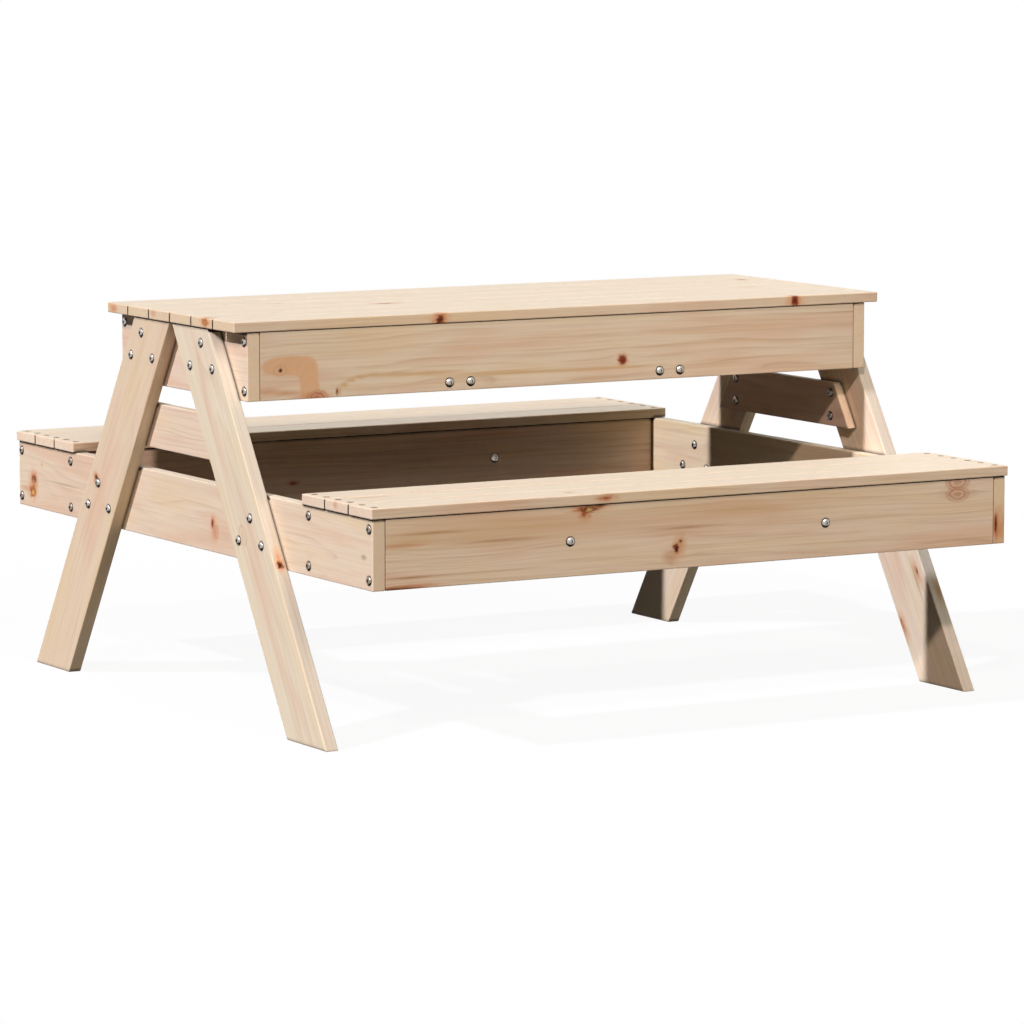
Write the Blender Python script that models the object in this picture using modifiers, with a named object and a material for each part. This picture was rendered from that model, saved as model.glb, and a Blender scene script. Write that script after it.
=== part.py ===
"""A children's picnic table whose tabletop lifts off a shallow sandbox.

Lengths are in metres and +Z is up. The origin is on the floor under the middle of the table.
X runs along the benches, left is -X, and the front is -Y.

Two pairs of leaning legs stand outside the end boards. Each pair carries a low end board that
runs from bench to bench, a short crossbar, and one end wall of the sandbox. The two benches are
boxes of boards with three planks on top. The lid is six planks on two battens that drop inside
the sandbox walls, so it lifts straight up.
"""
import math

import bmesh
import bpy
from mathutils import Vector

# Timber
BOARD_WIDTH = 0.100
BOARD_THICKNESS = 0.020
PLANK_WIDTH = 0.067
PLANK_THICKNESS = 0.015
PLANK_GAP = 0.003
PANEL_THICKNESS = 0.009
EDGE_ROUND = 0.0015
EDGE_ROUND_STEPS = 2

# Table and benches
TABLE_LENGTH = 1.102
LID_PLANKS = 6
SEAT_PLANKS = 3
SEAT_HEIGHT = 0.351
LID_OVERHANG = 0.002
LEG_ROOM = 0.169
SEAT_OVERHANG = 0.003
SEAT_LIP = 0.005
WEB_SPACING = 0.427
GAP_UNDER_CROSSBAR = 0.034
GAP_OVER_CROSSBAR = 0.028
LEG_LEAN = math.radians(32.5)
LEG_TOP_GAP = 0.006

# Sandbox floor and lid
SLAT_SPACING = 0.360
SLAT_RISE = 0.005
LID_PLAY = 0.003

# Screw holes
SCREW_PITCH = 0.0355
SCREW_EDGE = 0.0145
SCREW_HOLE_RADIUS = 0.0025
SINK_RADIUS = 0.0055
SINK_DEPTH = 0.004
CROSSBAR_SCREW_INSET = 0.0285
HOLE_SIDES = 8
SINK_SIDES = 12

# Leg bolts, each three in a triangle
BOLT_PITCH = 0.0355
UPPER_BOLT_RISE = 0.010
BOLT_RADIUS = 0.003
BOLT_HEAD_RADIUS = 0.0065
BOLT_HEAD_HEIGHT = 0.004
BOLT_HEAD_RIM = 0.0008
SOCKET_RADIUS = 0.0029
SOCKET_DEPTH = 0.0022
SOCKET_SIDES = 6
BOLT_SIDES = 12
DOME_STEPS = 3

# Fits
FIT = 0.0003
OVERRUN = 0.004
WELD_DISTANCE = 0.00002

# Names of the two ends and the two long sides, each with its direction
ENDS = {"left": -1, "right": 1}
SIDES = {"front": -1, "rear": 1}
TURN_TO_AXIS = {"X": (0, math.pi / 2, 0), "Y": (math.pi / 2, 0, 0), "Z": (0, 0, 0)}

# Colour as linear RGB, roughness and metallic of each finish
FINISHES = {
    "pine_board": ((0.66, 0.47, 0.29), 0.6, 0.0),
    "pine_plank": ((0.74, 0.56, 0.37), 0.6, 0.0),
    "plywood": ((0.58, 0.42, 0.26), 0.7, 0.0),
    "zinc_steel": ((0.55, 0.55, 0.54), 0.3, 1.0),
}

# Heights, from the bench up
seat_bottom = SEAT_HEIGHT - PLANK_THICKNESS
end_board_top = seat_bottom - FIT
end_board_bottom = end_board_top - BOARD_WIDTH
crossbar_bottom = end_board_top + GAP_UNDER_CROSSBAR
crossbar_top = crossbar_bottom + PLANK_WIDTH
sandbox_bottom = crossbar_top + GAP_OVER_CROSSBAR
sandbox_top = sandbox_bottom + BOARD_WIDTH
slat_bottom = sandbox_bottom + SLAT_RISE
floor_bottom = slat_bottom + PLANK_THICKNESS + FIT
lid_bottom = sandbox_top + FIT
leg_top = sandbox_top

# Places along X, from the ends in
leg_outer_x = TABLE_LENGTH / 2 - LID_OVERHANG
leg_inner_x = leg_outer_x - BOARD_THICKNESS
end_board_outer_x = leg_inner_x - FIT
end_board_inner_x = end_board_outer_x - BOARD_THICKNESS
end_board_middle_x = (end_board_outer_x + end_board_inner_x) / 2
between_ends_x = end_board_inner_x - FIT
batten_outer_x = end_board_inner_x - LID_PLAY

# Places along Y, from the middle out
plank_pitch = PLANK_WIDTH + PLANK_GAP
table_half_depth = (LID_PLANKS * plank_pitch - PLANK_GAP) / 2
sandbox_outer_y = table_half_depth - LID_OVERHANG
sandbox_inner_y = sandbox_outer_y - BOARD_THICKNESS
seat_inner_y = table_half_depth + LEG_ROOM
seat_outer_y = seat_inner_y + SEAT_PLANKS * plank_pitch - PLANK_GAP
outer_apron_outer_y = seat_outer_y - SEAT_OVERHANG
outer_apron_inner_y = outer_apron_outer_y - BOARD_THICKNESS
inner_apron_inner_y = seat_inner_y + SEAT_LIP
inner_apron_outer_y = inner_apron_inner_y + BOARD_THICKNESS

# A leaning leg is wider along Y than across its own grain
leg_slope = math.tan(LEG_LEAN)
leg_width_y = BOARD_WIDTH / math.cos(LEG_LEAN)
leg_top_middle_y = (LEG_TOP_GAP + leg_width_y) / 2


def clear_scene():
    """Remove what a new Blender file holds."""
    for old in list(bpy.data.objects):
        bpy.data.objects.remove(old, do_unlink=True)


def add_collection(name):
    collection = bpy.data.collections.new(name)
    bpy.context.scene.collection.children.link(collection)
    return collection


clear_scene()
PIECES = add_collection("picnic_table_with_sandbox")
CUTTERS = add_collection("cutters")


def add_empty(name, location):
    """A bare axis cross that carries the pieces of one moving body."""
    empty = bpy.data.objects.new(name, None)
    empty.location = location
    PIECES.objects.link(empty)
    return empty


def add_material(name, finish):
    colour, roughness, metallic = FINISHES[finish]
    material = bpy.data.materials.new(name + "_" + finish)
    material.use_nodes = True
    shader = material.node_tree.nodes["Principled BSDF"]
    shader.inputs["Base Color"].default_value = (*colour, 1)
    shader.inputs["Roughness"].default_value = roughness
    shader.inputs["Metallic"].default_value = metallic
    return material


def add_piece(name, mesh, centre, finish, parent):
    """Place one named piece, with its own material, under the empty that carries it."""
    piece = bpy.data.objects.new(name, mesh)
    PIECES.objects.link(piece)
    piece.parent = parent
    piece.location = Vector(centre) - parent.location
    if not mesh.materials:
        mesh.materials.append(None)
    piece.material_slots[0].link = "OBJECT"
    piece.material_slots[0].material = add_material(name, finish)
    return piece


def add_board(name, low, high, finish, parent):
    """Planed timber between two corners, with eased edges."""
    low, high = Vector(low), Vector(high)
    shape = bmesh.new()
    bmesh.ops.create_cube(shape, size=1)
    bmesh.ops.scale(shape, vec=high - low, verts=shape.verts)
    mesh = bpy.data.meshes.new(name)
    shape.to_mesh(mesh)
    shape.free()
    board = add_piece(name, mesh, (low + high) / 2, finish, parent)
    rounding = board.modifiers.new("eased_edges", "BEVEL")
    rounding.width = EDGE_ROUND
    rounding.segments = EDGE_ROUND_STEPS
    return board


def add_cutter(name, centre, axis, radii, depth, sides):
    """A cylinder or cone along one axis, to be cut out of a piece."""
    shape = bmesh.new()
    bmesh.ops.create_cone(shape, cap_ends=True, segments=sides,
                          radius1=radii[0], radius2=radii[1], depth=depth)
    mesh = bpy.data.meshes.new(name)
    shape.to_mesh(mesh)
    shape.free()
    cutter = bpy.data.objects.new(name, mesh)
    cutter.location = centre
    cutter.rotation_euler = TURN_TO_AXIS[axis]
    cutter.hide_render = True
    cutter.display_type = "WIRE"
    CUTTERS.objects.link(cutter)
    return cutter


def cut(piece, cutter):
    """Take the cutter's shape out of the piece."""
    boolean = piece.modifiers.new(cutter.name, "BOOLEAN")
    boolean.operation = "DIFFERENCE"
    boolean.solver = "EXACT"
    boolean.object = cutter


def drill(piece, centre, axis, thickness, radius=SCREW_HOLE_RADIUS, sides=HOLE_SIDES):
    """Drill right through a board of the given thickness, at the hole's middle."""
    hole = add_cutter(piece.name + "_hole", centre, axis, (radius, radius),
                      thickness + 2 * OVERRUN, sides)
    cut(piece, hole)
    return hole


def countersink(piece, x, y, surface_z):
    """Open a hole's upper end so that a flat screw head sinks in."""
    slope = (SINK_RADIUS - SCREW_HOLE_RADIUS) / SINK_DEPTH
    wide = SINK_RADIUS + OVERRUN * slope
    depth = SINK_DEPTH + OVERRUN
    centre = (x, y, surface_z - SINK_DEPTH + depth / 2)
    sink = add_cutter(piece.name + "_countersink", centre, "Z",
                      (SCREW_HOLE_RADIUS, wide), depth, SINK_SIDES)
    cut(piece, sink)


def leg_middle_y(z):
    """Distance of a leg's centre line from the middle of the table at a height."""
    return leg_top_middle_y + (leg_top - z) * leg_slope


def bolt_triangle(middle_z):
    """Y and Z of the three bolts of one leg joint: one above the middle of a level pair."""
    low_z = middle_z - BOLT_PITCH / 2
    middle_y = leg_middle_y(low_z)
    return [(middle_y, low_z + BOLT_PITCH),
            (middle_y - BOLT_PITCH, low_z),
            (middle_y + BOLT_PITCH, low_z)]


# Heights of the two leg joints
upper_joint_z = (sandbox_bottom + sandbox_top) / 2 + UPPER_BOLT_RISE
lower_joint_z = (end_board_bottom + end_board_top) / 2


def make_leg(name, x_side, y_side, parent):
    """A board that leans inward, cut level at the floor and under the lid."""
    middle_x = x_side * (leg_outer_x + leg_inner_x) / 2
    middle_y = leg_middle_y(leg_top / 2)
    half = Vector((BOARD_THICKNESS, leg_width_y, leg_top)) / 2
    centre = Vector((middle_x, y_side * middle_y, leg_top / 2))
    leg = add_board(name, centre - half, centre + half, "pine_board", parent)
    for corner in leg.data.vertices:
        corner.co.y -= y_side * leg_slope * corner.co.z
    for joint_z in (upper_joint_z, lower_joint_z):
        for y, z in bolt_triangle(joint_z):
            drill(leg, (middle_x, y_side * y, z), "X", BOARD_THICKNESS,
                  BOLT_RADIUS + FIT, BOLT_SIDES)
    return leg


def make_end_board(name, x_side, parent):
    """The low board from bench to bench that the legs and both benches are fixed to."""
    edges = sorted((x_side * end_board_outer_x, x_side * end_board_inner_x))
    board = add_board(name, (edges[0], -outer_apron_outer_y, end_board_bottom),
                      (edges[1], outer_apron_outer_y, end_board_top), "pine_board", parent)
    middle_x = x_side * end_board_middle_x
    apron_middles = ((outer_apron_outer_y + outer_apron_inner_y) / 2,
                     (inner_apron_outer_y + inner_apron_inner_y) / 2)
    for y_side in SIDES.values():
        for y in apron_middles:
            for z in (end_board_bottom + SCREW_EDGE, end_board_top - SCREW_EDGE):
                drill(board, (middle_x, y_side * y, z), "X", BOARD_THICKNESS)
        for y, z in bolt_triangle(lower_joint_z):
            drill(board, (middle_x, y_side * y, z), "X", BOARD_THICKNESS,
                  BOLT_RADIUS + FIT, BOLT_SIDES)
    return board


def make_crossbar(name, x_side, parent):
    """A plank on edge between the legs, its ends cut along the legs' centre lines."""
    inner_x = end_board_outer_x - PLANK_THICKNESS
    edges = sorted((x_side * end_board_outer_x, x_side * inner_x))
    middle_z = (crossbar_bottom + crossbar_top) / 2
    reach = leg_middle_y(middle_z)
    bar = add_board(name, (edges[0], -reach, crossbar_bottom), (edges[1], reach, crossbar_top),
                    "pine_plank", parent)
    for corner in bar.data.vertices:
        corner.co.y = math.copysign(leg_middle_y(middle_z + corner.co.z), corner.co.y)
    for y_side in SIDES.values():
        for z in (middle_z - SCREW_PITCH / 2, middle_z + SCREW_PITCH / 2):
            centre = (sum(edges) / 2, y_side * (reach - CROSSBAR_SCREW_INSET), z)
            drill(bar, centre, "X", PLANK_THICKNESS)
    return bar


def make_apron(name, y_side, near_y, far_y, parent):
    """A long board of a bench, between the two end boards."""
    edges = sorted((y_side * near_y, y_side * far_y))
    apron = add_board(name, (-between_ends_x, edges[0], end_board_bottom),
                      (between_ends_x, edges[1], end_board_top), "pine_board", parent)
    middle_z = (end_board_bottom + end_board_top) / 2
    for x_side in ENDS.values():
        drill(apron, (x_side * WEB_SPACING / 2, sum(edges) / 2, middle_z), "Y", BOARD_THICKNESS)
    return apron


def make_web(name, x_side, y_side, parent):
    """A board across a bench, between its aprons and under its planks."""
    middle_x = x_side * WEB_SPACING / 2
    edges = sorted((y_side * (inner_apron_outer_y + FIT), y_side * (outer_apron_inner_y - FIT)))
    return add_board(name, (middle_x - BOARD_THICKNESS / 2, edges[0], end_board_bottom),
                     (middle_x + BOARD_THICKNESS / 2, edges[1], end_board_top),
                     "pine_board", parent)


def make_seat_plank(name, y_side, order, parent):
    """One plank of a seat, screwed down into both end boards."""
    reach = end_board_outer_x + SEAT_OVERHANG
    near_y = seat_inner_y + order * plank_pitch
    edges = sorted((y_side * near_y, y_side * (near_y + PLANK_WIDTH)))
    plank = add_board(name, (-reach, edges[0], seat_bottom), (reach, edges[1], SEAT_HEIGHT),
                      "pine_plank", parent)
    middle_z = (seat_bottom + SEAT_HEIGHT) / 2
    for x_side in ENDS.values():
        for y in (sum(edges) / 2 - SCREW_PITCH / 2, sum(edges) / 2 + SCREW_PITCH / 2):
            drill(plank, (x_side * end_board_middle_x, y, middle_z), "Z", PLANK_THICKNESS,
                  sides=SINK_SIDES)
            countersink(plank, x_side * end_board_middle_x, y, SEAT_HEIGHT)
    return plank


def make_sandbox_end(name, x_side, parent):
    """An end wall of the sandbox, which covers the ends of the side walls."""
    edges = sorted((x_side * end_board_outer_x, x_side * end_board_inner_x))
    wall = add_board(name, (edges[0], -sandbox_outer_y, sandbox_bottom),
                     (edges[1], sandbox_outer_y, sandbox_top), "pine_board", parent)
    side_middle_y = (sandbox_outer_y + sandbox_inner_y) / 2
    for y_side in SIDES.values():
        for z in (sandbox_bottom + SCREW_EDGE, sandbox_top - SCREW_EDGE):
            centre = (x_side * end_board_middle_x, y_side * side_middle_y, z)
            drill(wall, centre, "X", BOARD_THICKNESS)
    return wall


def make_sandbox_side(name, y_side, parent):
    """A long wall of the sandbox, with the screw holes of the two slats."""
    edges = sorted((y_side * sandbox_outer_y, y_side * sandbox_inner_y))
    wall = add_board(name, (-between_ends_x, edges[0], sandbox_bottom),
                     (between_ends_x, edges[1], sandbox_top), "pine_board", parent)
    slat_middle_z = slat_bottom + PLANK_THICKNESS / 2
    for x_side in ENDS.values():
        for offset in (-SCREW_PITCH / 2, SCREW_PITCH / 2):
            centre = (x_side * SLAT_SPACING / 2 + offset, sum(edges) / 2, slat_middle_z)
            drill(wall, centre, "Y", BOARD_THICKNESS)
    return wall


def make_slat(name, x_side, parent):
    """A plank laid flat between the sandbox's side walls, to carry its floor."""
    middle_x = x_side * SLAT_SPACING / 2
    reach = sandbox_inner_y - FIT
    return add_board(name, (middle_x - PLANK_WIDTH / 2, -reach, slat_bottom),
                     (middle_x + PLANK_WIDTH / 2, reach, slat_bottom + PLANK_THICKNESS),
                     "pine_plank", parent)


def make_floor(parent):
    """The plywood panel that holds the sand, loose on the slats inside the four walls."""
    reach_y = sandbox_inner_y - FIT
    return add_board("sandbox_floor", (-between_ends_x, -reach_y, floor_bottom),
                     (between_ends_x, reach_y, floor_bottom + PANEL_THICKNESS),
                     "plywood", parent)


def lid_plank_edges(order):
    low_y = -table_half_depth + order * plank_pitch
    return low_y, low_y + PLANK_WIDTH


def make_lid_plank(name, order, parent):
    low_y, high_y = lid_plank_edges(order)
    return add_board(name, (-TABLE_LENGTH / 2, low_y, lid_bottom),
                     (TABLE_LENGTH / 2, high_y, lid_bottom + PLANK_THICKNESS), "pine_plank", parent)


def make_batten(name, x_side, parent):
    """A cross plank under the lid that drops inside the sandbox walls."""
    edges = sorted((x_side * batten_outer_x, x_side * (batten_outer_x - PLANK_WIDTH)))
    reach = sandbox_inner_y - LID_PLAY
    top_z = lid_bottom - FIT
    batten = add_board(name, (edges[0], -reach, top_z - PLANK_THICKNESS),
                       (edges[1], reach, top_z), "pine_plank", parent)
    for order in range(LID_PLANKS):
        middle_y = sum(lid_plank_edges(order)) / 2
        for offset in (-SCREW_PITCH / 2, SCREW_PITCH / 2):
            screw_y = middle_y + offset
            if abs(screw_y) < reach - SCREW_HOLE_RADIUS:
                centre = (sum(edges) / 2, screw_y, top_z - PLANK_THICKNESS / 2)
                drill(batten, centre, "Z", PLANK_THICKNESS)
    return batten


def bolt_profile(half_grip):
    """Half outline of a bolt and its sleeve, from the crown of one head to the other."""
    dome = []
    for step in range(DOME_STEPS + 1):
        angle = math.pi / 2 * (1 - step / DOME_STEPS)
        dome.append((BOLT_HEAD_RADIUS * math.cos(angle),
                     BOLT_HEAD_RIM + (BOLT_HEAD_HEIGHT - BOLT_HEAD_RIM) * math.sin(angle)))
    dome[0] = (0, BOLT_HEAD_HEIGHT)
    upper = [(radius, half_grip + height) for radius, height in dome]
    upper += [(BOLT_HEAD_RADIUS, half_grip), (BOLT_RADIUS, half_grip)]
    return upper + [(radius, -height) for radius, height in reversed(upper)]


def make_bolt_mesh():
    """One bolt turned about Z, with a hexagon socket in each domed head."""
    half_grip = BOARD_THICKNESS + FIT / 2 + FIT
    shape = bmesh.new()
    points = [shape.verts.new((radius, 0, z)) for radius, z in bolt_profile(half_grip)]
    for start, end in zip(points, points[1:]):
        shape.edges.new((start, end))
    outline = bpy.data.meshes.new("bolt_outline")
    shape.to_mesh(outline)
    shape.free()
    pattern = bpy.data.objects.new("bolt_pattern", outline)
    CUTTERS.objects.link(pattern)
    turning = pattern.modifiers.new("turned", "SCREW")
    turning.steps = turning.render_steps = BOLT_SIDES
    turning.use_merge_vertices = True
    turning.merge_threshold = WELD_DISTANCE
    sockets = []
    for side in (-1, 1):
        middle_z = side * (half_grip + BOLT_HEAD_HEIGHT - SOCKET_DEPTH + OVERRUN / 2)
        socket = add_cutter("bolt_socket", (0, 0, middle_z), "Z",
                            (SOCKET_RADIUS, SOCKET_RADIUS), OVERRUN, SOCKET_SIDES)
        cut(pattern, socket)
        sockets.append(socket)
    bpy.context.view_layer.update()
    evaluated = pattern.evaluated_get(bpy.context.evaluated_depsgraph_get())
    mesh = bpy.data.meshes.new_from_object(evaluated)
    mesh.name = "leg_bolt"
    mesh.shade_smooth()
    mesh.set_sharp_from_angle(angle=math.radians(40))
    for used in [pattern] + sockets:
        bpy.data.objects.remove(used, do_unlink=True)
    return mesh


def make_leg_bolts(mesh, end, side, parent):
    """The three bolts through one leg and the low end board."""
    middle_x = ENDS[end] * (leg_outer_x + end_board_inner_x) / 2
    for order, (y, z) in enumerate(bolt_triangle(lower_joint_z), start=1):
        name = "leg_bolt_" + side + "_" + end + "_" + str(order)
        bolt = add_piece(name, mesh, (middle_x, SIDES[side] * y, z), "zinc_steel", parent)
        bolt.rotation_euler = TURN_TO_AXIS["X"]


def build_frame():
    """Everything that stands still."""
    frame = add_empty("frame", (0, 0, 0))
    bolt_mesh = make_bolt_mesh()
    for end, x_side in ENDS.items():
        make_end_board("end_board_" + end, x_side, frame)
        make_crossbar("crossbar_" + end, x_side, frame)
        make_sandbox_end("sandbox_end_" + end, x_side, frame)
        make_slat("sandbox_slat_" + end, x_side, frame)
        for side, y_side in SIDES.items():
            make_leg("leg_" + side + "_" + end, x_side, y_side, frame)
            make_web("bench_" + side + "_web_" + end, x_side, y_side, frame)
            make_leg_bolts(bolt_mesh, end, side, frame)
    for side, y_side in SIDES.items():
        make_sandbox_side("sandbox_side_" + side, y_side, frame)
        make_apron("bench_" + side + "_outer_apron", y_side,
                   outer_apron_inner_y, outer_apron_outer_y, frame)
        make_apron("bench_" + side + "_inner_apron", y_side,
                   inner_apron_inner_y, inner_apron_outer_y, frame)
        for order in range(SEAT_PLANKS):
            make_seat_plank("seat_" + side + "_plank_" + str(order + 1), y_side, order, frame)
    make_floor(frame)


def build_lid():
    """The tabletop, which lifts straight up off the sandbox."""
    lid = add_empty("lid", (0, 0, lid_bottom))
    for order in range(LID_PLANKS):
        make_lid_plank("lid_plank_" + str(order + 1), order, lid)
    for end, x_side in ENDS.items():
        make_batten("lid_batten_" + end, x_side, lid)


build_frame()
build_lid()
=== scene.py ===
# %% [markdown]
# # A pine picnic table with a sandbox under its lid
#
# This lesson dresses a finished construction model. The boards are already cut, drilled and in
# place, so nothing here moves them. What is left is what makes them look real: planed pine with
# its rings and knots, zinc-plated screws in every hole, and plain daylight.
# Lengths are metres and +Z is up. X runs along the benches, and the front is -Y.

# %% Load the built part
import math
import random

import bmesh
import bpy
from mathutils import Matrix, Vector


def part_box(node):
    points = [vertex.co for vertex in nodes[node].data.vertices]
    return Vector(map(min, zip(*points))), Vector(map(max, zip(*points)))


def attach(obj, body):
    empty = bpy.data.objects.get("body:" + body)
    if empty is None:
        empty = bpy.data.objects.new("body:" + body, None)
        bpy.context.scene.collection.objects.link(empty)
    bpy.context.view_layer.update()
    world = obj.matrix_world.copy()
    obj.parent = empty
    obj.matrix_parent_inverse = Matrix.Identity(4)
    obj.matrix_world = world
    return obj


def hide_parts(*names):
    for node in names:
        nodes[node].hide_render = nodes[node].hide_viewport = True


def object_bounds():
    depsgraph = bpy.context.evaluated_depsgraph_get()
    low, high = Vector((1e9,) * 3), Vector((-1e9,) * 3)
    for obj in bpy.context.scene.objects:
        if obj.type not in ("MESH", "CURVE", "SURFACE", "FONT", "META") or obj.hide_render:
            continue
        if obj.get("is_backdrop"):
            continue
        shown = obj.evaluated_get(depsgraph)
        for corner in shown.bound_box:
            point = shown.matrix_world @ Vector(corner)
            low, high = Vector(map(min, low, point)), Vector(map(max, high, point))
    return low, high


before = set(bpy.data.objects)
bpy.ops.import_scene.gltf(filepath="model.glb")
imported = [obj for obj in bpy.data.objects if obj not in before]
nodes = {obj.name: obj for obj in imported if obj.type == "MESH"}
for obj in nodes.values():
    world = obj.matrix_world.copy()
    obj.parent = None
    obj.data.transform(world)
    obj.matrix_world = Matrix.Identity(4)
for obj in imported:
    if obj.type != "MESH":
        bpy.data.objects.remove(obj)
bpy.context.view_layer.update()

MM = 0.001

# %% [markdown]
# ## The camera
#
# A product photographer stands far back with a long lens, so that parallel boards stay nearly
# parallel in the picture. The camera looks from the front left, a little above the tabletop.
# Its place is written as a direction and a distance from a point inside the table, because
# those are easier to adjust than three coordinates.

# %% Place the camera
LENS = 182.97
SENSOR_WIDTH = 36
CAMERA_AZIMUTH = math.radians(-29.865)
CAMERA_ELEVATION = math.radians(6.998)
CAMERA_DISTANCE = 7.867
LOOK_AT = Vector((0, -0.0452, 0.2572))

camera = bpy.data.objects.new("camera", bpy.data.cameras.new("camera"))
bpy.context.scene.collection.objects.link(camera)
camera.data.lens = LENS
camera.data.sensor_width = SENSOR_WIDTH
to_camera = Vector((math.sin(CAMERA_AZIMUTH) * math.cos(CAMERA_ELEVATION),
                    -math.cos(CAMERA_AZIMUTH) * math.cos(CAMERA_ELEVATION),
                    math.sin(CAMERA_ELEVATION)))
camera.location = LOOK_AT + CAMERA_DISTANCE * to_camera
camera.rotation_euler = (-to_camera).to_track_quat("-Z", "Y").to_euler()
bpy.context.scene.camera = camera
bpy.context.scene.view_settings.view_transform = "Standard"
print("camera at", [round(value, 2) for value in camera.location])

# %% [markdown]
# ## A few small helpers
#
# Colours are easiest to pick as sRGB hex values, but shaders calculate with linear light, so
# one function turns the first into the second. Building node trees by hand is wordy, so one
# function adds a node, sets it and links it. The second word of a kind is what the node's own
# menu offers, such as MULTIPLY. Inputs go by name, or in a list in Blender's order: a Map Range
# node's are value, from min, from max, to min and to max. A node given as an input stands for
# its first output in use. A Mix node has hidden inputs for other kinds of value, so its share
# is number 0 and its two colours are numbers 6 and 7.

# %% Helpers for colours, nodes and meshes
def linear(code, alpha=1.0):
    """The linear colour of an sRGB hex value such as '#E6CFB4'."""
    channels = [int(code[start:start + 2], 16) / 255 for start in (1, 3, 5)]
    straight = [c / 12.92 if c <= 0.04045 else ((c + 0.055) / 1.055) ** 2.4 for c in channels]
    return (*straight, alpha)


def add_node(tree, kind, inputs=(), **settings):
    """Add a shader node, set its settings, and fill its inputs with values or links."""
    kind, *choice = kind.split()
    node = tree.nodes.new("ShaderNode" + kind)
    if choice:
        setattr(node, "data_type" if kind == "Mix" else "operation", choice[0])
    for name, value in settings.items():
        setattr(node, name, value)
    for key, value in (inputs if isinstance(inputs, dict) else dict(enumerate(inputs))).items():
        if isinstance(value, bpy.types.Node):
            value = next(output for output in value.outputs if output.enabled)
        if isinstance(value, bpy.types.NodeSocket):
            tree.links.new(value, node.inputs[key])
        else:
            node.inputs[key].default_value = value
    return node


def fill_ramp(ramp, steps):
    """Give a new colour ramp these steps: each is a position and a linear colour."""
    ramp.elements.remove(ramp.elements[1])
    for order, (position, colour) in enumerate(steps):
        element = ramp.elements.new(position) if order else ramp.elements[0]
        element.position, element.color = position, colour


def new_material(name):
    """A material and its empty node tree."""
    material = bpy.data.materials.new(name)
    material.use_nodes = True
    material.node_tree.nodes.clear()
    return material, material.node_tree


def link_object(name, content):
    """An object in the scene that shows a mesh or a lamp."""
    piece = bpy.data.objects.new(name, content)
    bpy.context.scene.collection.objects.link(piece)
    return piece


def mesh_object(name, shape):
    """An object with the shape that was made in a bmesh."""
    mesh = bpy.data.meshes.new(name)
    shape.to_mesh(mesh)
    shape.free()
    return link_object(name, mesh)


print("wood white is", [round(value, 3) for value in linear("#E6CFB4")[:3]])

# %% [markdown]
# ## Floor, background and light
#
# The photo is a cut-out on white. A white floor in strong light would throw that light back
# up under the benches and wash out the dark gaps, so the floor is white only to the camera
# and to reflections, and dull to the light that bounces off it. It still takes a faint shadow.

# %% White surroundings
FLOOR_SIZE = 60
FLOOR_PAINT = 0.9
FLOOR_GLOW = 0.93
FLOOR_BOUNCE = 0.015
SKY_STRENGTH = 0.004
WHITE = (1, 1, 1, 1)


def seen_directly(tree):
    """1 for camera, glossy and transmission rays, and 0 for light on its way to a surface."""
    path = add_node(tree, "LightPath").outputs
    pair = add_node(tree, "Math MAXIMUM", [path["Is Camera Ray"], path["Is Glossy Ray"]])
    return add_node(tree, "Math MAXIMUM", [pair, path["Is Transmission Ray"]])


material, tree = new_material("white_studio_floor")
seen = seen_directly(tree)
paint = add_node(tree, "MapRange", [seen, 0, 1, FLOOR_BOUNCE, FLOOR_PAINT])
matt = add_node(tree, "BsdfDiffuse", [paint])
glow = add_node(tree, "Emission", [WHITE, 1.0])
share = add_node(tree, "Math MULTIPLY", [seen, FLOOR_GLOW])
mixed = add_node(tree, "MixShader", [share, matt, glow])
add_node(tree, "OutputMaterial", [mixed])

shape = bmesh.new()
bmesh.ops.create_grid(shape, x_segments=1, y_segments=1, size=FLOOR_SIZE / 2)
floor = mesh_object("floor", shape)
floor.data.materials.append(material)
floor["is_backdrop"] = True

world = bpy.data.worlds.new("white_surroundings")
bpy.context.scene.world = world
world.use_nodes = True
tree = world.node_tree
tree.nodes.clear()
strength = add_node(tree, "MapRange", [seen_directly(tree), 0, 1, SKY_STRENGTH])
sky = add_node(tree, "Background", [WHITE, strength])
add_node(tree, "OutputWorld", [sky])
print("floor", FLOOR_SIZE, "m square, sky strength", SKY_STRENGTH)

# %% [markdown]
# The shadows in the photo tell where its lamps stand. The low end board on the right carries
# the straight shadow of the sandbox, so one lamp shines along X. A second, slanting shadow
# edge on the crossbar belongs to a weaker, warm lamp at the front left. The front faces get a
# broad, soft light from the front, and a weak one from behind keeps the hidden sides readable.
# A sun lamp suits all four, because each of these shadows has one direction.

# %% Lamps
# Name: direction in which the light travels, strength on a face square to it, colour, softness
LAMPS = {
    "left_key": ((1, 0, -0.88), 3.36, "#F8F5FF", 2.5),
    "warm_corner": ((1, 1.3, -1.18), 1.38, "#FFE7DF", 3),
    "front_fill": ((0, 1, -0.55), 1.28, "#FFF8EC", 27),
    "back_fill": ((-1, -0.8, -0.2), 0.66, "#FFF2E4", 40),
}
for name, (travels, strength, colour, softness) in LAMPS.items():
    light = bpy.data.lights.new(name, "SUN")
    light.energy = strength
    light.color = linear(colour)[:3]
    light.angle = math.radians(softness)
    link_object(name, light).rotation_euler = Vector(travels).to_track_quat("-Z", "Y").to_euler()
print("lamps:", ", ".join(LAMPS))

# %% [markdown]
# ## How pine is built up
#
# A board is a slice of a tree, so its figure isn't painted on: it is where the saw met the
# yearly rings. The recipe below makes the rings as nested cylinders in the board's own
# millimetres and lets every face cut them. Faces, edges and end grain then agree with each
# other, as they do on real timber. Each ring fades from pale early wood to brown late wood
# and then stops sharply, where one summer ended and the next spring began.

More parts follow.
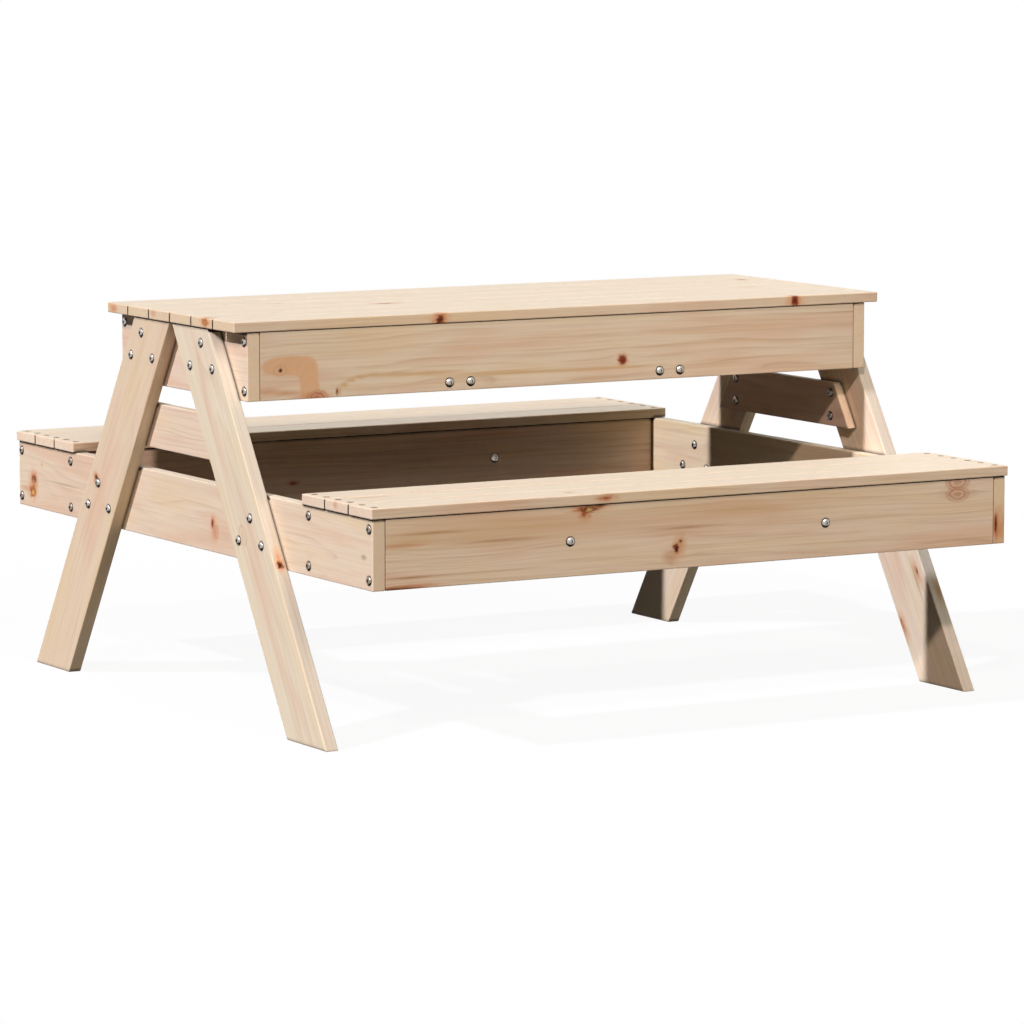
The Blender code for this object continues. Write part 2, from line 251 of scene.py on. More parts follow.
# %% A node group for the rings of a log
RING_SPREAD = 18
DRY_YEARS = 3.2
WANDER_GRAIN_MM = (420, 75, 75)
WANDER_MM = (0, 26, 26)
LIFT_GRAIN_MM = (190, 12, 12)
# How brown the wood is at each share of a year's growth
SEASONS = ((0, 0.35), (0.12, 0), (0.55, 0.06), (0.82, 0.45), (0.95, 1), (1, 0.55))
DARK_YEARS = (0.15, 1)
LIFTED, SHOWN_SHARE = (0.36, 0.62), (0.15, 1)


def new_group(name, inputs, outputs):
    """A node group with named sockets, and its two end nodes."""
    group = bpy.data.node_groups.new(name, "ShaderNodeTree")
    for in_out, sockets in (("INPUT", inputs), ("OUTPUT", outputs)):
        for label, kind in sockets.items():
            group.interface.new_socket(name=label, in_out=in_out,
                                       socket_type="NodeSocket" + kind)
    return group, group.nodes.new("NodeGroupInput").outputs, group.nodes.new("NodeGroupOutput")


def make_rings_group():
    """From a point in board millimetres to how brown the yearly ring is there."""
    group, given, result = new_group(
        "yearly_rings",
        {"Point": "Vector", "Seed": "Vector", "Pith": "Vector", "Tilt": "Vector",
         "Ring Width": "Float"},
        {"Late Wood": "Float"})
    # A trunk is never quite straight or round, so a slow noise pushes the rings about
    wander = add_node(group, "VectorMath MULTIPLY_ADD", [given["Point"],
                      [1 / side for side in WANDER_GRAIN_MM], given["Seed"]])
    slow = add_node(group, "TexNoise", {"Vector": wander, "Scale": 1.0, "Detail": 2.0,
                    "Roughness": 0.45})
    centred = add_node(group, "VectorMath SUBTRACT", [slow.outputs["Color"], (0.5, 0.5, 0.5)])
    pushed = add_node(group, "VectorMath MULTIPLY_ADD", [centred, WANDER_MM, given["Point"]])
    # The log lies a little askew in the board, which gives the long pointed arches
    in_log = add_node(group, "Mapping", [pushed, given["Pith"], given["Tilt"]],
                      vector_type="TEXTURE")
    across = add_node(group, "VectorMath MULTIPLY", [in_log, (0, 1, 1)])
    radius = add_node(group, "VectorMath LENGTH", [across])
    # Dry and wet years: the rings aren't all equally wide or equally dark
    years = add_node(group, "Math DIVIDE", [radius, RING_SPREAD])
    uneven = add_node(group, "TexNoise", {"W": years, "Scale": 1.0, "Detail": 1.0},
                      noise_dimensions="1D")
    count = add_node(group, "Math DIVIDE", [radius, given["Ring Width"]])
    shifted = add_node(group, "Math MULTIPLY_ADD", [uneven, DRY_YEARS, count])
    year = add_node(group, "Math FLOOR", [shifted])
    season = add_node(group, "Math FRACT", [shifted])
    profile = add_node(group, "ValToRGB", [season])
    fill_ramp(profile.color_ramp, [(share, (brown, brown, brown, 1)) for share, brown in SEASONS])
    strength = add_node(group, "TexWhiteNoise", {"W": year}, noise_dimensions="1D")
    dark_years = add_node(group, "MapRange", [strength, 0, 1, *DARK_YEARS])
    late = add_node(group, "Math MULTIPLY", [profile, dark_years])
    # The plane lifts some lines and buries others, so each comes and goes along the board
    stretch = add_node(group, "VectorMath MULTIPLY_ADD", [given["Point"],
                       [1 / side for side in LIFT_GRAIN_MM], given["Seed"]])
    lift = add_node(group, "TexNoise", {"Vector": stretch, "Scale": 1.0, "Detail": 2.0})
    showing = add_node(group, "MapRange", [lift, *LIFTED, *SHOWN_SHARE])
    shown = add_node(group, "Math MULTIPLY", [late, showing])
    group.links.new(shown.outputs[0], result.inputs["Late Wood"])
    return group


RINGS = make_rings_group()
print(RINGS.name, "has", len(RINGS.nodes), "nodes")

# %% [markdown]
# ## Knots
#
# A knot is the root of a branch. It shows as a round or oval core, and the rings of the trunk
# flow round it as water flows round a stone. The group below does both: it gives the distance
# from the knot, measured in knot radii, and it moves the point so that the rings part around
# it. The move follows the formula for flow past a cylinder: it is as large as the knot at
# its rim, and fades with the square of the distance.

# %% A node group for one knot
FLOW_STRETCH = 0.42
OWN_PATTERN = (0.37, 0.61, 0.23)


def make_knot_group():
    """From a point to its distance from a knot, and to where the grain there came from."""
    group, given, result = new_group(
        "knot_in_grain",
        {"Point": "Vector", "Bent": "Vector", "Place": "Vector", "Reach": "Vector",
         "Push": "Vector", "Fray": "Float"},
        {"Bent": "Vector", "Distance": "Float"})
    offset = add_node(group, "VectorMath SUBTRACT", [given["Point"], given["Place"]])
    shares = add_node(group, "VectorMath DIVIDE", [offset, given["Reach"]])
    distance = add_node(group, "VectorMath LENGTH", [shares])
    own = add_node(group, "VectorMath MULTIPLY_ADD", [given["Place"], OWN_PATTERN, shares])
    ragged = add_node(group, "TexNoise", {"Vector": own, "Scale": 1.25, "Detail": 3.0,
                      "Roughness": 0.62})
    edge = add_node(group, "Math SUBTRACT", [ragged, 0.5])
    frayed = add_node(group, "Math MULTIPLY_ADD", [edge, given["Fray"], distance])
    flow = add_node(group, "VectorMath MULTIPLY", [shares, (FLOW_STRETCH, 1, 1)])
    far = add_node(group, "VectorMath LENGTH", [flow])
    faded = add_node(group, "Math POWER", [far, -2.0])
    held = add_node(group, "Math MINIMUM", [faded, 1.0])
    push = add_node(group, "VectorMath MULTIPLY", [shares, given["Push"]])
    moved = add_node(group, "VectorMath SCALE", {0: push, "Scale": held})
    bent = add_node(group, "VectorMath SUBTRACT", [given["Bent"], moved])
    group.links.new(bent.outputs[0], result.inputs["Bent"])
    group.links.new(frayed.outputs[0], result.inputs["Distance"])
    return group


KNOT = make_knot_group()
print(KNOT.name, "has", len(KNOT.nodes), "nodes")

# %% [markdown]
# Knots differ. A live branch was growing when the trunk closed around it, so it is orange and
# has no hard rim. A dead one was a stub, with dark bark around it. Pins are twigs, and
# streaks and stains are resin or tinted wood without a branch. Each kind is a list of colour
# steps outwards: distance in radii, colour, and how much it covers.

# %% Kinds of marks
FAR = 2.6
KINDS = {
    "dead_knot": ((0, "#22110B", 1), (0.3, "#3E2014", 1), (0.55, "#7C3F22", 1),
        (0.75, "#54291A", 0.95), (0.95, "#B8703F", 0.85), (1.3, "#D6A076", 0.5),
        (2, "#DDB08A", 0.15), (FAR, "#DDB793", 0)),
    "red_knot": ((0, "#451808", 1), (0.45, "#87381A", 1), (0.75, "#6A2A12", 0.95),
        (1, "#B66B44", 0.75), (1.4, "#D29E7A", 0.4), (2, "#DDB793", 0)),
    "orange_knot": ((0, "#E2AC62", 1), (0.35, "#CE8A45", 1), (0.6, "#8A4A22", 0.95),
        (0.78, "#C27A40", 0.9), (0.98, "#9A5A30", 0.7), (1.2, "#DBA678", 0.5),
        (1.9, "#E0B78C", 0.12), (FAR, "#E0B78C", 0)),
    "pale_knot": ((0, "#CFA27E", 0.75), (0.35, "#B98468", 0.7), (0.48, "#D8B092", 0.6),
        (0.75, "#D2A484", 0.6), (0.9, "#A4664C", 0.85), (1.03, "#D2A484", 0.5),
        (1.35, "#BC8A6C", 0.5), (1.6, "#DDBFA0", 0.1), (FAR, "#DDBFA0", 0)),
    "pin": ((0, "#2C150D", 1), (0.7, "#4E281A", 0.95), (1.1, "#B08060", 0.5),
        (1.8, "#C9A07C", 0)),
    "grey_pin": ((0, "#A08A70", 0.9), (0.7, "#BBA486", 0.7), (1.4, "#D2BFA4", 0)),
    "streak": ((0, "#A57C52", 0.85), (0.6, "#BC9468", 0.6), (1.2, "#D0B28E", 0.25),
        (1.9, "#D8BE9C", 0)),
    "stain": ((0, "#DDB68F", 0.95), (0.84, "#DCB48C", 0.95), (0.97, "#DCB996", 0.55),
        (1.1, "#DDC6A8", 0)),
    "ring": ((0, "#D9B28A", 0), (0.7, "#D9B28A", 0), (0.92, "#B97F58", 0.32),
        (1.2, "#D9B28A", 0)),
    "crack": ((0, "#8A7A68", 0.55), (0.6, "#9C8A74", 0.4), (1.5, "#D2BFA4", 0)),
    "band": ((0, "#C2985C", 0.62), (0.5, "#C9A36C", 0.5), (1.3, "#DDCFAF", 0)),
    "bark": ((0, "#5A331C", 0.95), (0.5, "#7E4F2C", 0.85), (0.9, "#B07F55", 0.45),
        (1.4, "#C9A07C", 0)),
    "gold": ((0, "#D2AE7C", 0.6), (0.6, "#D9BA90", 0.45), (1.5, "#E0CCAA", 0)),
    "rust": ((0, "#9C4A28", 0.95), (0.45, "#B8663C", 0.75), (0.9, "#CE8F62", 0.45),
        (1.7, "#DDB793", 0)),
    "glow": ((0, "#E6C88E", 1), (0.5, "#C49A58", 0.95), (0.72, "#4E2812", 0.95),
        (0.98, "#9A5426", 0.7), (1.5, "#C98A50", 0)),
    "amber": ((0, "#CE8048", 0.75), (0.7, "#D89C68", 0.45), (1.5, "#DDB080", 0)),
    "faint": ((0, "#C4855C", 0.6), (0.8, "#CC946C", 0.45), (1.6, "#DDB793", 0)),
    # painted shade: a dark ring over each seat screw's countersink
    "bruise": ((0, "#1E140E", 0.95), (0.88, "#1E140E", 0.95), (1, "#5A4434", 0.5),
        (1.15, "#D0B08C", 0)),
}
FRAY = {"dead_knot": 2.2, "red_knot": 1.5, "orange_knot": 2.2, "glow": 2.0, "rust": 2.0,
        "amber": 1.6, "stain": 0.25, "ring": 0.4, "pale_knot": 0.7, "bruise": 0.0}
USUAL_FRAY = 1.0
# Kinds that were branches, so that the grain bends round them
BENDS = ("dead_knot", "red_knot", "orange_knot", "pale_knot", "pin")
print("kinds of marks:", ", ".join(KINDS))

# %% [markdown]
# Where the marks are, in the board's own millimetres from its middle. Each has a kind, a place
# along the grain and one across the width, and its half sizes in those two directions. It goes
# right through the board, as a branch would, unless two more numbers say how far through the
# thickness its middle lies and how far it reaches. The same recipe then draws it on the face
# and on the edge.

# %% The marks on each board
THROUGH = 100
MARKS = {
    "sandbox_side_front": [
        ("band", -380, -41, 5, 8), ("band", -372, -32, 8, 5), ("band", -361, -26, 11, 4.5),
        ("band", -346, -22, 15, 4.5), ("band", -322, -20, 22, 4.5), ("band", -286, -21, 34, 5),
        ("band", -226, -22, 60, 4.5), ("band", -120, -27, 120, 4), ("band", 20, -29, 200, 3.5),
        ("faint", -496, -36, 18, 4), ("faint", -466, -40, 20, 3.5), ("stain", -473, -1, 35, 14),
        ("stain", -451, -1, 30, 14.5), ("stain", -434, -6, 20, 18.5), ("stain", -429, -22, 16, 28),
        ("stain", -427, -40, 16, 26), ("ring", -476, -7, 11, 8), ("pin", -475.5, -7, 3, 3),
        ("faint", -428, -47, 30, 7), ("rust", -416, -47, 17, 6), ("pale_knot", -416, -50, 13, 9),
        ("bark", -384, -42, 2.5, 6), ("red_knot", 97, -18, 7, 7)],
    "bench_front_outer_apron": [
        ("gold", -330, 26, 230, 24), ("gold", 60, 30, 200, 16), ("gold", -476, 16, 60, 9),
        ("faint", -488, 11, 40, 3), ("streak", -470, -34, 60, 2),
        ("streak", -440, 26, 60, 3, 0, 30), ("streak", -320, 9, 70, 3, 0, 30),
        ("streak", -20, 8, 60, 2.5, 0, 30), ("rust", -478, -48, 60, 4),
        ("bark", -492, -49.5, 36, 5), ("rust", -186, 45, 30, 6), ("rust", -190, 37, 9, 9),
        ("glow", -184, 43.5, 12, 4.5), ("bark", -166, 48, 14, 3), ("amber", -32, -17, 10, 15),
        ("faint", -48, -33, 12, 10), ("dead_knot", -39, -21, 4.5, 6.5), ("bark", -32, -11, 3.5, 3),
        ("pale_knot", 444, 45, 15, 9), ("pale_knot", 444, 28, 15, 8)],
    "end_board_left": [
        ("faint", 552, -22, 24, 4), ("amber", 530, -14, 16, 20), ("rust", 527, -7, 12, 12),
        ("red_knot", 527, -6, 8, 7), ("rust", 529, -14, 4, 7), ("orange_knot", 532, -25, 11, 9),
        ("faint", 497, 20, 3, 3), ("crack", 418, -3, 75, 1.6), ("amber", -95, -13, 9, 19),
        ("rust", -93, -8, 5, 9), ("red_knot", -92, -8, 3.5, 6), ("faint", -103, -20, 9, 12),
        ("ring", -105, -20, 8, 9), ("grey_pin", -556, -5, 8, 4)],
    "end_board_right": [
        ("amber", -584, -26, 30, 30, 2, 22), ("rust", -584, -24, 14, 20, -5, 5),
        ("red_knot", -584, -20, 12, 14, -6, 2.5), ("dead_knot", -330, -22, 6, 7)],
    "leg_rear_left": [("rust", -14, 28, 9, 10), ("dead_knot", -16, 28, 4, 6)],
    "leg_front_left": [
        ("ring", -2, -14, 16, 11), ("gold", -2, -16, 14, 6), ("amber", 66, 50, 16, 8, 0, 6),
        ("dead_knot", 77, 50, 6, 6, 0, 5)],
    "leg_front_right": [
        ("amber", 158, 31, 26, 9), ("bark", 157, 33, 7, 2.2), ("crack", 172, 24, 34, 2),
        ("amber", 214, -44, 24, 9), ("rust", 206, -46, 9, 4), ("streak", 200, 50, 22, 12, -4, 7)],
    "lid_plank_1": [
        ("rust", -214, -34, 13, 14, -2, 11), ("dead_knot", -214, -34, 6, 10, -3, 6),
        ("amber", 401, -34, 16, 12, 0, 10), ("red_knot", 401, -34, 6, 12, 0, 9)],
    "lid_plank_2": [("amber", -550, -12, 16, 15, 1, 10), ("orange_knot", -550, -12, 12, 9, 1, 7)],
    "lid_plank_3": [
        ("faint", -201, 14, 24, 12), ("bark", -203, 14, 13, 6), ("streak", 430, 10, 26, 3)],
    "lid_plank_4": [("streak", -348, 25, 28, 3), ("faint", -550, 18, 12, 8, 2, 5)],
    "lid_plank_5": [("orange_knot", 500, -5, 7, 8)],
    "lid_plank_6": [("amber", -550, 15, 16, 14, 0, 7), ("faint", -550, 10, 10, 9, -1, 5)],
    "seat_front_plank_2": [("faint", -469, 17, 30, 5), ("faint", -531, 2, 8, 6, 2, 5)],
    "seat_front_plank_3": [("streak", -199, -2, 10, 6), ("rust", -156, -34, 16, 8, 0, 5)],
    "bench_rear_inner_apron": [("rust", -150, -19, 11, 4)],
    "bench_rear_outer_apron": [
        ("orange_knot", 310, 14, 10, 9), ("pale_knot", -120, -28, 13, 10),
        ("dead_knot", -402, 20, 6, 8)],
    "bench_front_inner_apron": [("pale_knot", 215, 8, 12, 11), ("orange_knot", -260, -30, 9, 8)],
    "sandbox_side_rear": [
        ("orange_knot", -230, -14, 11, 10), ("red_knot", 345, 25, 6, 7), ("pin", 30, -32, 3, 3)],
    "sandbox_end_right": [("pale_knot", 60, -12, 12, 10)],
    "lid_batten_right": [("pale_knot", 90, 4, 11, 9)],
}
print("marked boards:", len(MARKS), "marks:", sum(len(marks) for marks in MARKS.values()))

# %% [markdown]
# ## Which way each board's grain runs
#
# Grain follows the length of a board, because wood is strong along it. Each board therefore
# gets its own axes: along the grain, across the width, and through the thickness. Most boards
# lie along X or Y. The four legs lean, so their grain leans with them. Tables about the boards
# are looked up by the start of a name: the longest start that fits decides, and an empty one
# stands for all other boards.

# %% Axes of each board
LEG_LEAN = math.radians(32.5)
ALONG_X, ALONG_Y, UPRIGHT = Vector((1, 0, 0)), Vector((0, 1, 0)), Vector((0, 0, 1))
AXES = {
    **dict.fromkeys(("bench", "sandbox_side"), (ALONG_X, UPRIGHT)),
    **dict.fromkeys(("bench_front_web", "bench_rear_web", "sandbox_end", "end_board",
                     "crossbar"), (ALONG_Y, UPRIGHT)),
    **dict.fromkeys(("seat", "lid_plank"), (ALONG_X, ALONG_Y)),
    **dict.fromkeys(("sandbox_slat", "lid_batten"), (ALONG_Y, ALONG_X)),
}
for side, outward in (("front", -1), ("rear", 1)):
    AXES["leg_" + side] = (Vector((0, outward * math.sin(LEG_LEAN), -math.cos(LEG_LEAN))),
                           Vector((0, outward * math.cos(LEG_LEAN), math.sin(LEG_LEAN))))


def by_name(table, name):
    """The entry of a table whose key is the longest start of this name."""
    return table[max((start for start in table if name.startswith(start)), key=len)]


def middle_of(name):
    """Middle of a board."""
    low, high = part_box(name)
    return (low + high) / 2


def board_place(name):
    """Middle of a board, the turn of its own axes, and its half sizes in millimetres."""
    grain, width = by_name(AXES, name)
    turn = Matrix((grain, width, grain.cross(width))).transposed()
    middle = middle_of(name)
    corners = [turn.inverted() @ (corner.co - middle) for corner in nodes[name].data.vertices]
    half = [max(abs(corner[axis]) for corner in corners) / MM for axis in range(3)]
    return middle, turn, half


print("leg half sizes in mm:", [round(size, 1) for size in board_place("leg_front_left")[2]])

# %% [markdown]
# ## Planed pine
#
# The boards are unfinished pine, planed and lightly sanded. Pine is pale cream with brown late
# wood. Planing leaves it matt, and the short fibres that it raises give a faint velvety sheen
# to a face that is seen nearly edge on. That sheen and a paler colour painted on upward faces
# make the tabletop look paler than its sides. The recipe starts with slow patches of cream and
# pink; upward faces are painted paler, as painted light on the tops, and the narrow faces of
# the legs greyer, as painted shade. On them lie the yearly rings and brown fibres, and then
# lighter and darker fibres of two sizes, the finest for close views only. Last come the pale
# dusty end grain, the marks, among them painted shade over the seat screws, painted shade on
# the walls of holes, and painted shade in the joints.

# %% Colours and sizes of the pine
# No two logs are alike: the pink, cream and golden wood of each board. The right legs and end
# board, the rear seat and the rear inner apron are painted lighter as painted light, and the
# right crossbar redder as painted shade
HUES_WITH_PAINTED_LIGHT = {
    "": ("#E6C9AE", "#E9D7BE", "#E9D4B3"),
    "bench": ("#EBCDB3", "#EEDCC3", "#EED9B8"),
    "bench_rear_inner": ("#F5D2B7", "#F8E0C8", "#F8DDBC"),
    "sandbox_side": ("#E2C9B1", "#E5D7C1", "#E5D4B6"),
    "crossbar_right": ("#E6C0A6", "#E9CDB5", "#E9CAAA"),
    "seat_rear": ("#F5D6B7", "#F8E5C8", "#F8E2BC"),
    "lid_plank": ("#E0C4AB", "#E3D2BB", "#E3CFB0"),
    "end_board_left": ("#E4C8AB", "#E7D6BB", "#E7D3B0"),
    "end_board_right": ("#EFD0AC", "#F2DEBC", "#F2DBB1"),
    "leg_front_left": ("#E5CFB3", "#E8DEC3", "#E8DAB8"),
    "leg_rear_left": ("#E2C5A6", "#E5D3B5", "#E5D0AB"),
    "leg_front_right": ("#F5D8BB", "#F8E7CC", "#F8E4C0"),
    "leg_rear_right": ("#F3D3B6", "#F6E2C6", "#F6DFBB"),
}
HUE_STEPS = (0.36, 0.5, 0.64)
# Painted light: upward faces are painted paler, for the light that falls on the tops
TOP_PAINTED_PALE, TOP_PAINTED_PALE_SHARE = "#EDE6CD", 0.72
# Painted shade: the narrow faces of the legs are painted greyer, to take away light they get
LEG_EDGE_PAINTED_SHADE, LEG_EDGE_SHADE_SHARE = "#D3CDC0", 0.8
LATE_WOOD = "#B8926A"
FIBRE_BROWN, BROWN_FIBRES = "#D2AE82", (0.5, 0.78)
END_GRAINS, END_GRAIN_SHARE = {"": "#E8D6BC", "lid_plank": "#E0C99C"}, 0.5
# Painted shade: the walls of holes are painted dark
PAINTED_HOLE_SHADE = "#3A271B"
# How far a face is turned towards a direction when it starts and when it fully counts
FACES_UP = (0.8, 0.98)
FACES_SIDEWAYS = (0.5, 0.95)
# How strongly the rings show; on the tops most of the figure is left out
FIGURE_STRENGTHS = {"": 0.56, "lid_plank": 0.34, "leg": 0.34, "end_board": 0.36,
                    "sandbox_end": 0.46, "crossbar": 0.5}
TOP_FIGURE_STRENGTH = 0.15
# Grain sizes along, across and through
PATCH_MM = (320, 60, 60)
FIBRE_MM = (150, 2.6, 2.6)
FINE_FIBRE_MM = (30, 0.5, 0.5)
BROWN_FIBRE_MM = (210, 5, 5)
GRAIN_ROUGHNESS = 0.55
FIBRE_SPREAD, FIBRE_SHADES = (0.45, 1.05), (0.91, 1.05)
RELIEF_STRENGTH, RELIEF = 0.5, 0.12 * MM
PINE_ROUGHNESS = (0.52, 0.68)
PINE_GLOSS_LEVEL = 0.2
FIBRE_SHEEN, FIBRE_SHEEN_ROUGHNESS = 0.42, 0.3
# A wall inside a board, this far from its faces, is the wall of a hole
HOLE_DEPTH_MM = (0.46, 0.62)
# Painted shade in joints: the share of open air where it is darkest and where it ends, and how
# much wood shows through it. One set holds near a board's top, the other from a few mm further in
PAINTED_JOINT_SHADE = "#24130C"
JOINT_MM = (3.5, 6)
JOINT_SHADES = {"": (0.6, 0.99, 0.0), "end_board": (0.93, 1.0, 0.0),
                "sandbox_end": (0.9, 1.0, 0.0), "leg": (0.93, 1.0, 0.0)}
CORNER_SHADES = (0.5, 0.92, 0.4)
CORNER_REACH = 7 * MM
UNSHADED_GAP_MM = (0.7, 1.4)
# Screws come in pairs and triangles: where the two of a pair lie, and how far apart
PAIR, PAIR_PITCH_MM = (-0.5, 0.5), 35.5
# Painted shade over the seat screws' countersinks: its radius and how deep it reaches
SINK_SHADE_MM, SINK_SHADE_DEPTH_MM = 5.3, 3

# Rings of the boards whose figure shows best: pith across and through, ring width in mm, and
# how far the log lies askew, in degrees
FIGURES = {
    "sandbox_side_front": ((-58, -52), 9.0, (0.0, 0.5)),
    "bench_front_outer_apron": ((-60, -40), 6.0, (0.3, -0.3)),
    "end_board_left": ((-20, 105), 5.0, (0.5, 0.4)),
    "end_board_right": ((15, -120), 4.8, (0.3, 0.4)),
    "sandbox_end_left": ((-12, 110), 4.6, (0.2, 0.5)),
    "sandbox_end_right": ((20, -100), 4.8, (0.2, 0.4)),
    "leg_front_left": ((10, 70), 9.0, (1.0, 0.3)),
    "leg_rear_left": ((-20, 60), 8.0, (1.0, 0.5)),
}
chance = random.Random(19)


def figure_of(name):
    """Pith, tilt and ring width of the log that a board was cut from."""
    pith = (chance.uniform(-45, 45), chance.choice((-1, 1)) * chance.uniform(28, 70))
    ring = chance.uniform(5.0, 9.0)
    askew = (chance.uniform(-0.8, 0.8), chance.uniform(-0.8, 0.8))
    pith, ring, askew = FIGURES.get(name, (pith, ring, askew))
    return (0, *pith), (0, math.radians(askew[0]), math.radians(askew[1])), ring


def stretched_noise(tree, point, seed, size, detail):
    """Noise whose grains are the given size in millimetres."""
    scaled = add_node(tree, "VectorMath MULTIPLY_ADD", [point, [1 / side for side in size], seed])
    return add_node(tree, "TexNoise", {"Vector": scaled, "Scale": 1.0, "Detail": detail,
                    "Roughness": GRAIN_ROUGHNESS})


def seat_sink_shades(name):
    """Painted shade: dark rings on a seat plank over the countersinks of its screws."""
    if not name.startswith("seat_"):
        return []
    middle, _, half = board_place(name)
    return [("bruise", middle_of("end_board_" + end).x / MM - middle.x / MM,
             step * PAIR_PITCH_MM, SINK_SHADE_MM, SINK_SHADE_MM, half[2], SINK_SHADE_DEPTH_MM)
            for end in ("left", "right") for step in PAIR]


def mark_place(along, across, half_length, half_width, through=0, half_depth=THROUGH):
    """Centre and half sizes of a mark, each along, across and through the board."""
    return (along, across, through), (half_length, half_width, half_depth)


def bend_round_knots(tree, name, point):
    """The point moved so that rings part around the knots, and its distance from each mark."""
    bent, distances = point, []
    for kind, *numbers in MARKS.get(name, []) + seat_sink_shades(name):
        centre, reach = mark_place(*numbers)
        size = min(reach[1:]) if kind in BENDS else 0
        fray = FRAY.get(kind, USUAL_FRAY)
        knot = add_node(tree, "Group", {"Point": point, "Bent": bent, "Place": centre,
                        "Reach": reach, "Push": (0, size, size), "Fray": fray}, node_tree=KNOT)
        bent = knot.outputs["Bent"]
        distances.append((kind, knot.outputs["Distance"]))
    return bent, distances


def grown_wood(tree, name, normal, width, bent, seed, rings):
    """Colour with rings and brown fibres, painted light on the tops and painted shade on leg
    edges.
    """
    patches = stretched_noise(tree, bent, seed, PATCH_MM, 2.0)
    hues_with_painted_light = add_node(tree, "ValToRGB", [patches])
    fill_ramp(hues_with_painted_light.color_ramp, zip(HUE_STEPS, map(linear, by_name(HUES_WITH_PAINTED_LIGHT, name))))
    upward = add_node(tree, "SeparateXYZ", [normal]).outputs[2]
    top_painted_pale = add_node(tree, "MapRange", [upward, *FACES_UP, 0, TOP_PAINTED_PALE_SHARE])
    colour = add_node(tree, "Mix RGBA", {0: top_painted_pale, 6: hues_with_painted_light, 7: linear(TOP_PAINTED_PALE)})
    if name.startswith("leg_"):
        # Painted shade: the narrow faces of the legs are painted greyer
        edgewise = add_node(tree, "VectorMath DOT_PRODUCT", [normal, width])
        leg_edge_shade = add_node(tree, "MapRange", [edgewise, *FACES_SIDEWAYS, 0, LEG_EDGE_SHADE_SHARE])
        colour = add_node(tree, "Mix RGBA", {0: leg_edge_shade, 6: colour, 7: linear(LEG_EDGE_PAINTED_SHADE)})
    shows = add_node(tree, "MapRange", [upward, *FACES_UP, by_name(FIGURE_STRENGTHS, name),
                     TOP_FIGURE_STRENGTH])
    figure = add_node(tree, "Math MULTIPLY", [rings, shows])
    colour = add_node(tree, "Mix RGBA", {0: figure, 6: colour, 7: linear(LATE_WOOD)})
    browns = stretched_noise(tree, bent, seed[::-1], BROWN_FIBRE_MM, 3.0)
    brown_share = add_node(tree, "MapRange", [browns, *BROWN_FIBRES, 0, shows])
    return add_node(tree, "Mix RGBA", {0: brown_share, 6: colour, 7: linear(FIBRE_BROWN)})


def marked_wood(tree, colour, distances):
    """The colour with each mark laid over it."""
    for kind, distance in distances:
        reach = add_node(tree, "Math DIVIDE", [distance, FAR])
        steps = add_node(tree, "ValToRGB", [reach])
        fill_ramp(steps.color_ramp, [(radii / FAR, linear(code, cover))
                                     for radii, code, cover in KINDS[kind]])
        colour = add_node(tree, "Mix RGBA", {0: steps.outputs["Alpha"], 6: colour, 7: steps})
    return colour


def shade_painted_wood(tree, name, object_point, point, half, colour):
    """The colour with painted shade on the walls of holes and where two boards meet."""
    # Slanted ends lie inside the board's own box, so the box is shortened to where they start
    slant = 2 * half[1] * math.tan(LEG_LEAN) if name.startswith(("leg_", "crossbar")) else 0
    walls = add_node(tree, "VectorMath ABSOLUTE", [point])
    depth = add_node(tree, "VectorMath SUBTRACT", [(half[0] - slant, half[1], half[2]), walls])
    depths = add_node(tree, "SeparateXYZ", [depth]).outputs
    sides = add_node(tree, "Math MINIMUM", [depths[1], depths[2]])
    inner = add_node(tree, "Math MINIMUM", [sides, depths[0]])
    # Painted shade on the walls of holes
    in_hole = add_node(tree, "MapRange", [inner, *HOLE_DEPTH_MM])
    colour = add_node(tree, "Mix RGBA", {0: in_hole, 6: colour, 7: linear(PAINTED_HOLE_SHADE)})

    # Painted shade is darkest under the planks and between them
    open_air = add_node(tree, "AmbientOcclusion", {"Distance": CORNER_REACH}, samples=8)
    is_plank = name.startswith(("lid_plank", "seat"))
    if is_plank:
        below = depths[1]
    else:
        height = add_node(tree, "SeparateXYZ", [object_point]).outputs[2]
        below = add_node(tree, "Math MULTIPLY_ADD", [height, -1 / MM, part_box(name)[1].z / MM])
    limits = [add_node(tree, "MapRange", [below, *JOINT_MM, near, further_in])
              for near, further_in in zip(by_name(JOINT_SHADES, name), CORNER_SHADES)]
    unshaded_share = add_node(tree, "MapRange", [open_air.outputs["AO"], *limits])
    if is_plank:
        # The painted shade stays out of the first millimetre of the gaps between planks
        gap_top_unshaded = add_node(tree, "MapRange", [depths[2], *UNSHADED_GAP_MM, 1, 0])
        unshaded_share = add_node(tree, "Math MAXIMUM", [unshaded_share, gap_top_unshaded])
    return add_node(tree, "Mix RGBA", {0: unshaded_share, 6: linear(PAINTED_JOINT_SHADE), 7: colour})


